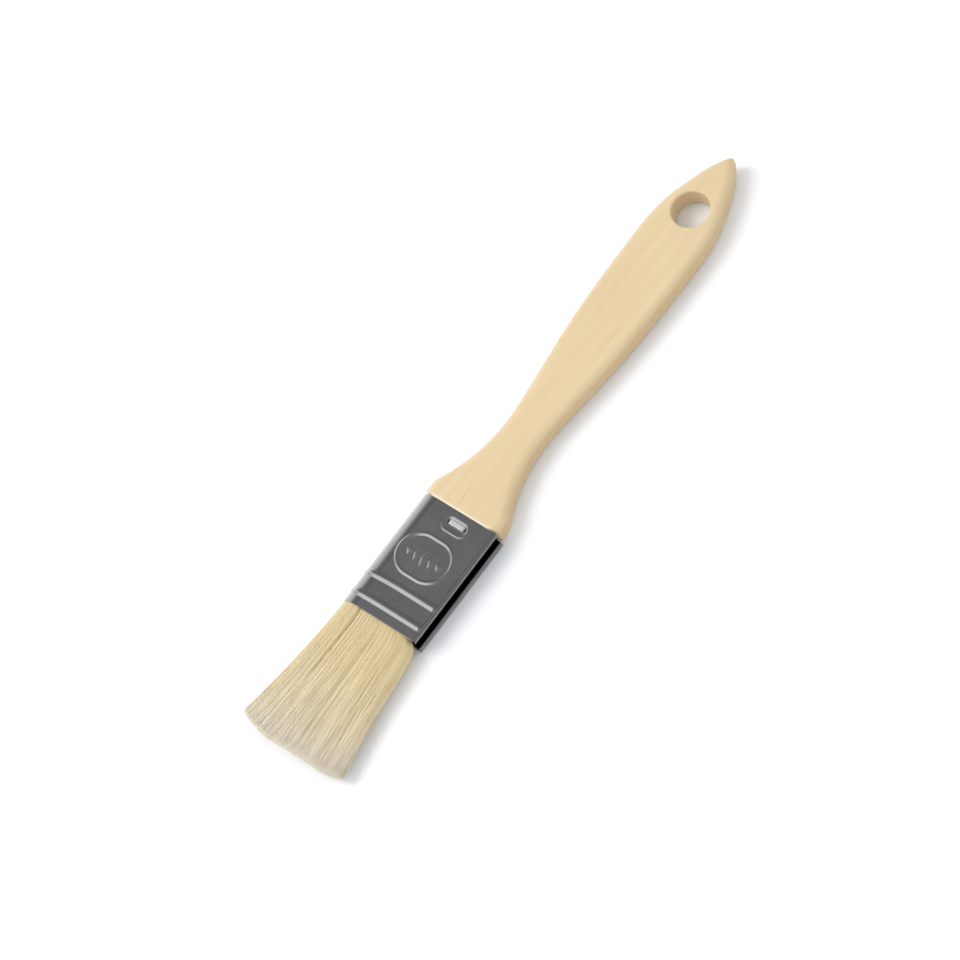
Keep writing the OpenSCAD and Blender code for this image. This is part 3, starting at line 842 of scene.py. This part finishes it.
def row_limits():
    """Y limits of a row of bristle in the ferrule and at its tips, from the outer locks."""
    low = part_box("bristle_front_1")[0].y
    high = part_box(f"bristle_front_{LOCKS_PER_ROW}")[1].y
    inner = [v.co.y for k in (1, LOCKS_PER_ROW) for v in frame["nodes"][f"bristle_front_{k}"].data.vertices
             if v.co.x > X_MOUTH + 2 * MM]
    return (min(inner), max(inner)), (low, high)


def fan(share):
    """Swells just past the ferrule, then spreads."""
    share = np.clip(share, 0.0, 1.0)
    return 0.22 * (1 - np.exp(-share / 0.025)) + 0.78 * share ** 0.9


def row_section(share):
    """Half width, middle and half thickness of the tuft at each share of its length."""
    (root_low, root_high), (tip_low, tip_high) = row_limits()
    spread = fan(share)
    inside = np.clip(share, 0, 1)
    width = mix(root_high - root_low, tip_high - tip_low, spread) / 2
    width += TIP_SPREAD * inside ** 3
    lean = -LEAN * (1 - np.exp(-inside / 0.045))
    middle = (root_high + root_low) / 2 * (1 - spread) + lean
    swell = 0.25 * MM * np.sin(np.pi * inside ** 0.6)
    thick = mix(HALF_T - SHEET_T - 0.05 * MM, TIP_HALF_T, inside) + swell
    return width, middle, thick


def hair_paths(row, lock, count):
    """Centre lines of the hairs of one lock: an array of count x HAIR_RINGS x 3."""
    local = np.random.default_rng(100 * (row + 2) + lock)
    u = (np.arange(count) + local.uniform(0, 1, count)) / count
    t = (lock - 1 + local.permutation(u)) / LOCKS_PER_ROW
    depth = local.uniform(0, 1, count) ** 0.6
    share = np.concatenate([[-0.08, 0.0, 0.03], np.linspace(0.10, 1.0, HAIR_RINGS - 3)])[None, :]
    width, middle, thick = row_section(share)
    inside = np.clip(share, 0, 1)
    clump = (np.floor(t * 40) + 0.5) / 40 + local.normal(0, 0.002, count)
    tt = mix(t[:, None], clump[:, None], 0.30 * smoothstep(0.25, 1.0, share))
    tt = tt + local.normal(0, 0.007, count)[:, None] * inside
    y = middle + (2 * tt - 1) * (width - 0.08 * MM)
    from_edge = np.clip(width - np.abs(y - middle), 0, None)
    height = thick * np.sqrt(1 - np.clip(1 - from_edge / CORNER_W, 0, 1) ** 2)
    lumps = 0.16 * MM * wave_noise(tt * 26 + 3 * row, inside * 2.0 + row, 21 + row)
    lumps = lumps * smoothstep(0.02, 0.6, share)
    height = depth[:, None] * np.maximum(0.1 * MM, height - 0.08 * MM + lumps)
    if row > 0:
        top = smoothstep(0.3, 0.85, depth)[:, None]
        for at, start, end, opening, low, slope in PARTINGS:
            window = smoothstep(start - 0.05, start + 0.08, share) * (1 - smoothstep(end - 0.2, end, share))
            off = (tt - at) * 2 * width
            near = np.exp(-((off / slope) ** 2)) * window * top
            y = y + np.sign(off) * opening * near
            height = height - low * near
    z = Z_MID + row * np.maximum(0.03 * MM, height)
    crown = 2.5 * MM * np.clip((t - 0.72) / 0.28, 0, 1) ** 2.4
    crown += 1.1 * MM * np.clip((0.22 - t) / 0.22, 0, 1) ** 1.3 + 0.5 * MM * depth ** 3
    ragged = np.abs(local.normal(0, 0.5 * MM, count)) + 0.25 * MM * (1 + wave_noise(t * 30, depth * 3, 8))
    shorter = (crown + ragged)[:, None] * smoothstep(0.0, 1.0, share)
    x = X_MOUTH - (X_MOUTH - X_BRISTLE_TIP + OVERHANG) * share + shorter
    wobble = local.normal(0, 1, (count, 4))
    bow = np.sin(np.pi * inside)
    stray = smoothstep(0.4, 1.0, share)
    y = y + wobble[:, 0:1] * 0.06 * MM * bow + wobble[:, 1:2] * 0.16 * MM * stray
    z = z + row * (wobble[:, 2:3] * 0.04 * MM * bow + wobble[:, 3:4] * 0.07 * MM * stray)
    z = Z_MID + np.clip(z - Z_MID, 0.03 * MM - thick, thick - 0.03 * MM)
    return np.stack([np.broadcast_to(x, y.shape), y, z], axis=2)


def make_lock(row, lock, material):
    """One lock of the row on the front (1) or the back (-1), as separate tapered hairs."""
    name = f"bristle_{'front' if row > 0 else 'back'}_{lock}"
    paths = hair_paths(row, lock, HAIRS_PER_LOCK)
    count = len(paths)
    local = np.random.default_rng(7000 + 50 * (row + 1) + lock)
    thick = local.uniform(0.8, 1.2, count)[:, None]
    taper = mix(ROOT_R, TIP_R, np.linspace(0, 1, HAIR_RINGS) ** 1.8)[None, :]
    radius = thick * taper
    angles = math.tau * np.arange(HAIR_SIDES) / HAIR_SIDES
    spin = local.uniform(0, math.tau, count)[:, None] + angles[None, :]
    ring_y = np.cos(spin)[:, None, :] * radius[:, :, None]
    ring_z = np.sin(spin)[:, None, :] * radius[:, :, None]
    points = np.repeat(paths[:, :, None, :], HAIR_SIDES, axis=2)
    points[..., 1] += ring_y
    points[..., 2] += ring_z
    per_hair = HAIR_RINGS * HAIR_SIDES
    hair_quads = np.array(grid_faces(HAIR_RINGS, HAIR_SIDES, closed=True, flip=False))
    caps = np.array([list(range(HAIR_SIDES))[::-1],
                     [(HAIR_RINGS - 1) * HAIR_SIDES + k for k in range(HAIR_SIDES)]])
    hair_faces = np.concatenate([hair_quads, caps])
    starts = (np.arange(count) * per_hair)[:, None, None]
    faces = (hair_faces[None] + starts).reshape(-1, 4)
    mesh = bpy.data.meshes.new(f"hairs_{name}")
    mesh.vertices.add(count * per_hair)
    mesh.vertices.foreach_set("co", points.reshape(-1))
    mesh.loops.add(faces.size)
    mesh.loops.foreach_set("vertex_index", faces.reshape(-1))
    mesh.polygons.add(len(faces))
    mesh.polygons.foreach_set("loop_start", np.arange(0, faces.size, 4))
    mesh.update(calc_edges=True)
    mesh.polygons.foreach_set("use_smooth", [True] * len(faces))
    hairs = bpy.data.objects.new(f"hairs_{name}", mesh)
    bpy.context.scene.collection.objects.link(hairs)
    shade = np.clip(local.normal(0.55, 0.2, count), 0, 1)
    paint(hairs, "strand", np.repeat(shade, per_hair))
    return place(hairs, material, "bristle", name)


def tip_half_thickness():
    """Half thickness of the bristle at its tips, from the CAD lock in the middle of the row."""
    lock = frame["nodes"][MIDDLE_LOCK].data.vertices
    return max(v.co.z for v in lock if v.co.x < X_BRISTLE_TIP + 0.5 * MM) - Z_MID


# ---------- stage ----------

# The view: from above the seam side, a little towards the bristle, turned on its axis.
VIEW_FROM = Vector((-0.21, -0.444, 0.871)).normalized()
VIEW_ROLL = math.radians(37.35)
VIEW_WIDTH = 268.9 * MM
VIEW_DISTANCE = 1.6
VIEW_CENTRE = Vector((X_FERRULE_END + 11.86 * MM, 2.82 * MM, Z_MID))
SENSOR = 36.0


def make_camera():
    lens = bpy.data.cameras.new("camera")
    lens.sensor_width = SENSOR
    lens.lens = SENSOR * VIEW_DISTANCE / VIEW_WIDTH
    lens.clip_start = 0.01
    camera = bpy.data.objects.new("camera", lens)
    bpy.context.scene.collection.objects.link(camera)
    along = Vector((1, 0, 0))
    up0 = (along - VIEW_FROM * along.dot(VIEW_FROM)).normalized()
    right0 = up0.cross(VIEW_FROM)
    up = up0 * math.cos(VIEW_ROLL) - right0 * math.sin(VIEW_ROLL)
    right = up.cross(VIEW_FROM)
    camera.matrix_world = matrix_from_axes(right, up, VIEW_FROM, VIEW_CENTRE + VIEW_FROM * VIEW_DISTANCE)
    bpy.context.scene.camera = camera


def matrix_from_axes(right, up, back, origin):
    m = Matrix((right, up, back)).transposed().to_4x4()
    m.translation = origin
    return m


def add_light(name, direction, distance, size, power):
    """A square soft light that faces the middle of the brush and isn't seen in reflections."""
    data = bpy.data.lights.new(name, "AREA")
    data.size = size
    data.energy = power
    light = bpy.data.objects.new(name, data)
    bpy.context.scene.collection.objects.link(light)
    away = Vector(direction).normalized()
    light.location = VIEW_CENTRE + away * distance
    light.rotation_euler = away.to_track_quat("Z", "Y").to_euler()
    light.visible_glossy = False


def make_world(fill, overhead, horizon, *glows):
    """An even fill for matt surfaces; what shines sees a dim room with a few bright sides.
    Each glow is its strength, its direction, and the cosines where it begins and is full."""
    world = bpy.data.worlds.new("studio")
    bpy.context.scene.world = world
    world.use_nodes = True
    tree = world.node_tree
    new = tree.nodes.new
    coord = new("ShaderNodeTexCoord")
    split = new("ShaderNodeSeparateXYZ")
    tree.links.new(coord.outputs["Generated"], split.inputs[0])
    room = new("ShaderNodeMapRange")
    tree.links.new(split.outputs["Z"], room.inputs["Value"])
    room.inputs["To Min"].default_value = horizon
    room.inputs["To Max"].default_value = overhead
    total = room.outputs["Result"]
    for power, direction, begins, full in glows:
        towards = new("ShaderNodeVectorMath")
        towards.operation = "DOT_PRODUCT"
        tree.links.new(coord.outputs["Generated"], towards.inputs[0])
        towards.inputs[1].default_value = Vector(direction).normalized()
        bright = new("ShaderNodeMapRange")
        bright.interpolation_type = "SMOOTHSTEP"
        tree.links.new(towards.outputs["Value"], bright.inputs["Value"])
        bright.inputs["From Min"].default_value = begins
        bright.inputs["From Max"].default_value = full
        bright.inputs["To Max"].default_value = power
        both = new("ShaderNodeMath")
        tree.links.new(total, both.inputs[0])
        tree.links.new(bright.outputs["Result"], both.inputs[1])
        total = both.outputs[0]
    ray = new("ShaderNodeLightPath")
    strength = new("ShaderNodeMix")
    tree.links.new(ray.outputs["Is Glossy Ray"], strength.inputs[0])
    strength.inputs[2].default_value = fill
    tree.links.new(total, strength.inputs[3])
    tree.links.new(strength.outputs[0], tree.nodes["Background"].inputs["Strength"])
    tree.nodes["Background"].inputs["Color"].default_value = (1, 1, 1, 1)


def make_floor():
    reach = 3.0
    corners = [(-reach, -reach, 0), (reach, -reach, 0), (reach, reach, 0), (-reach, reach, 0)]
    floor = new_object("floor", corners, [(0, 1, 2, 3)], smooth=False)
    floor.data.materials.append(paper_material())


# ---------- build ----------

TIP_HALF_T = tip_half_thickness()

make_handle(wood_material())
make_ferrule(tin_material())
wire = wire_material()
make_staple(1, wire)
make_staple(-1, wire)
bristle = bristle_material()
for row in (1, -1):
    for lock in range(1, LOCKS_PER_ROW + 1):
        make_lock(row, lock, bristle)
make_resin(resin_material())
plug = frame["nodes"]["spacer_plug"].data.materials
plug.clear()
plug.append(card_material())

make_floor()
make_camera()
make_world(0.90, 0.24, 0.12, (0.8, (-0.70, 0.36, 0.62), 0.70, 0.95),
           (0.75, (0.0, 0.98, 0.2), 0.86, 1.0), (-0.09, (0.15, 0.73, 0.68), 0.93, 0.99))
add_light("key", (-0.34, 0.51, 0.79), 2.5, 1.3, 28.5)
bpy.context.scene.view_settings.view_transform = "Standard"
